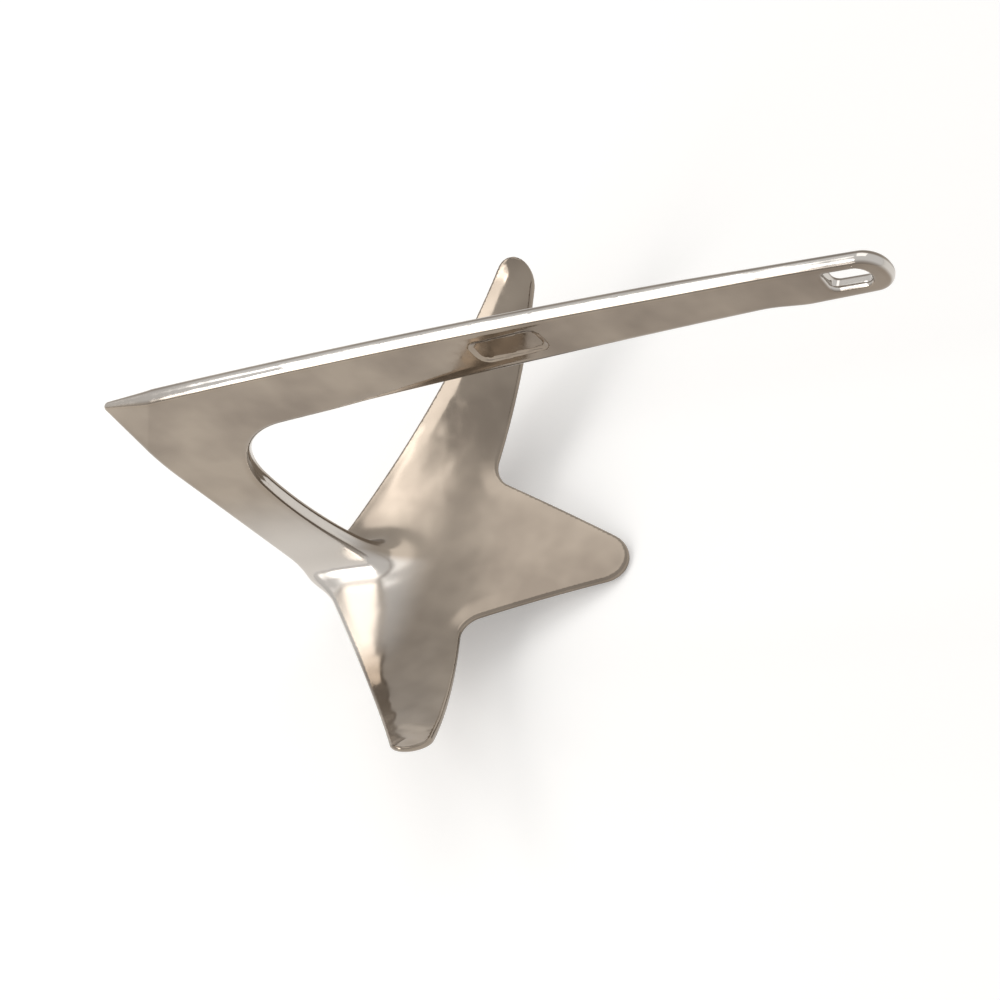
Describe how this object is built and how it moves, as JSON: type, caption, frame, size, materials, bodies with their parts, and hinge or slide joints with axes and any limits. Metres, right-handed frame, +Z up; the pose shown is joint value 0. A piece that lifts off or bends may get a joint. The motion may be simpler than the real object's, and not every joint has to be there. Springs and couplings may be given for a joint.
{
  "type": "claw anchor",
  "caption": "One-piece polished stainless claw anchor: long shank with an oblong shackle eye, bent arm and hollow three-fluke claw.",
  "frame": {"origin": "centre of the bounding box's bottom face, on the floor the anchor rests on", "axes": "+X from the nose towards the shackle eye, +Y across the claw, +Z up, as it rests on the claw's belly and central fluke"},
  "size_m": [0.6054, 0.396, 0.2984],
  "materials": {
    "stainless": "mirror polished"
  },
  "bodies": {
    "root": {"claw_anchor": "stainless"}
  },
  "joints": []
}
